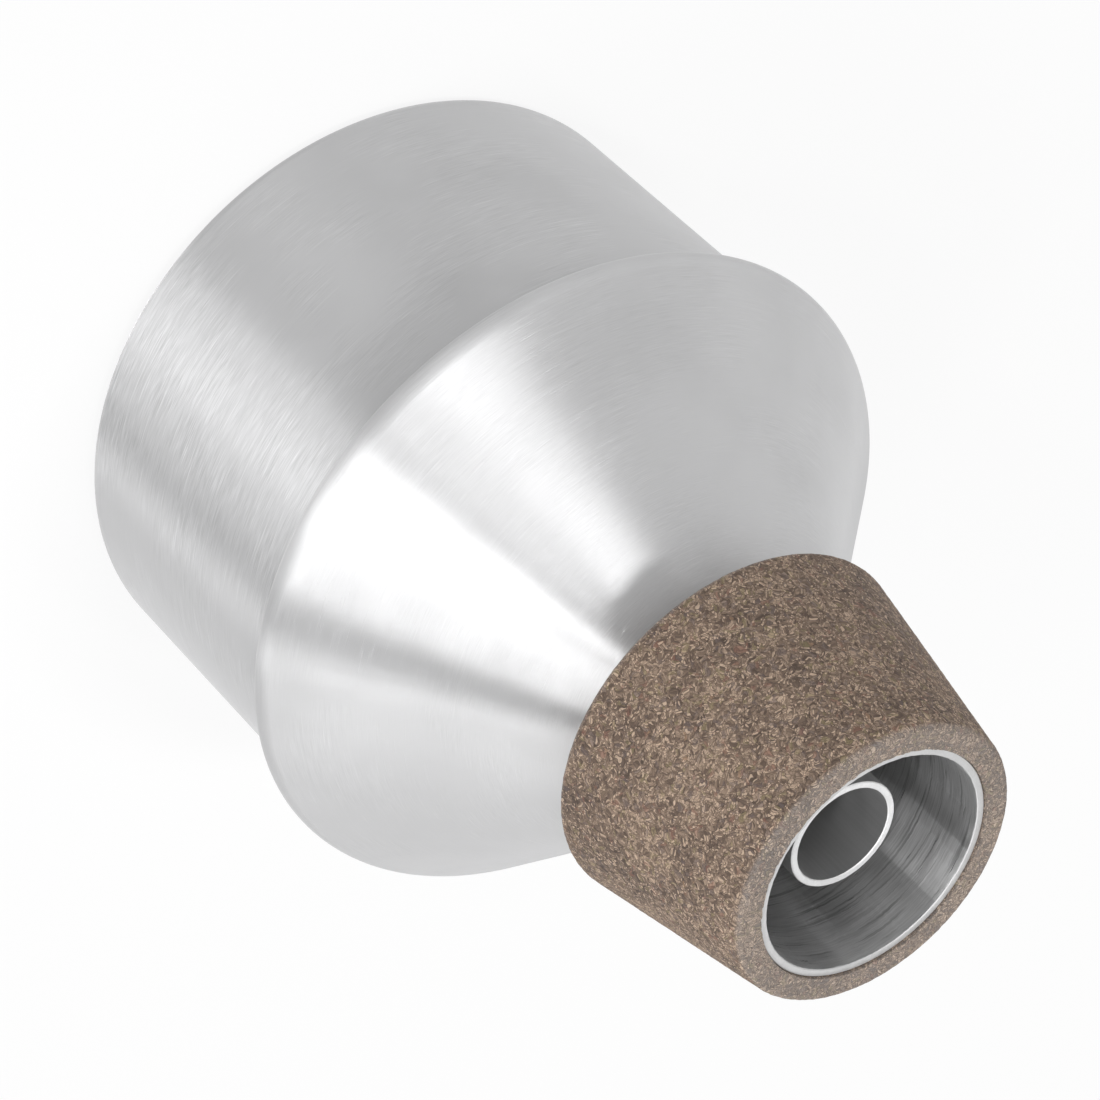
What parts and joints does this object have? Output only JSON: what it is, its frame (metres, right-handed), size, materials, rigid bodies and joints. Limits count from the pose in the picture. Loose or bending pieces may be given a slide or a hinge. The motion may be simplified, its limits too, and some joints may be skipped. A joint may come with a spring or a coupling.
{
  "type": "trumpet practice mute",
  "caption": "Practice mute for a trumpet: a spun cone and drum of brushed metal, a tapered cork collar that grips inside the bell, and an open inner tube.",
  "frame": {"origin": "centre of the flat base, on the surface that the mute stands on", "axes": "+Z is the mute's axis, from the base to the open mouth; X and Y are free, because every piece is round about Z"},
  "size_m": [0.1106, 0.1106, 0.1343],
  "materials": {
    "spun_aluminium": "satin, brushed round the axis",
    "tube_aluminium": "drawn, matte",
    "cork": "matte, granulated",
    "rubber": "matte",
    "brass": "satin",
    "felt": "matte"
  },
  "bodies": {
    "root": {"cone_shell": "spun_aluminium", "drum_shell": "spun_aluminium", "cork_collar": "cork", "inner_tube": "tube_aluminium", "tube_socket": "tube_aluminium", "seal_washer": "rubber", "vent_eyelet": "brass", "damping_felt": "felt"}
  },
  "joints": []
}
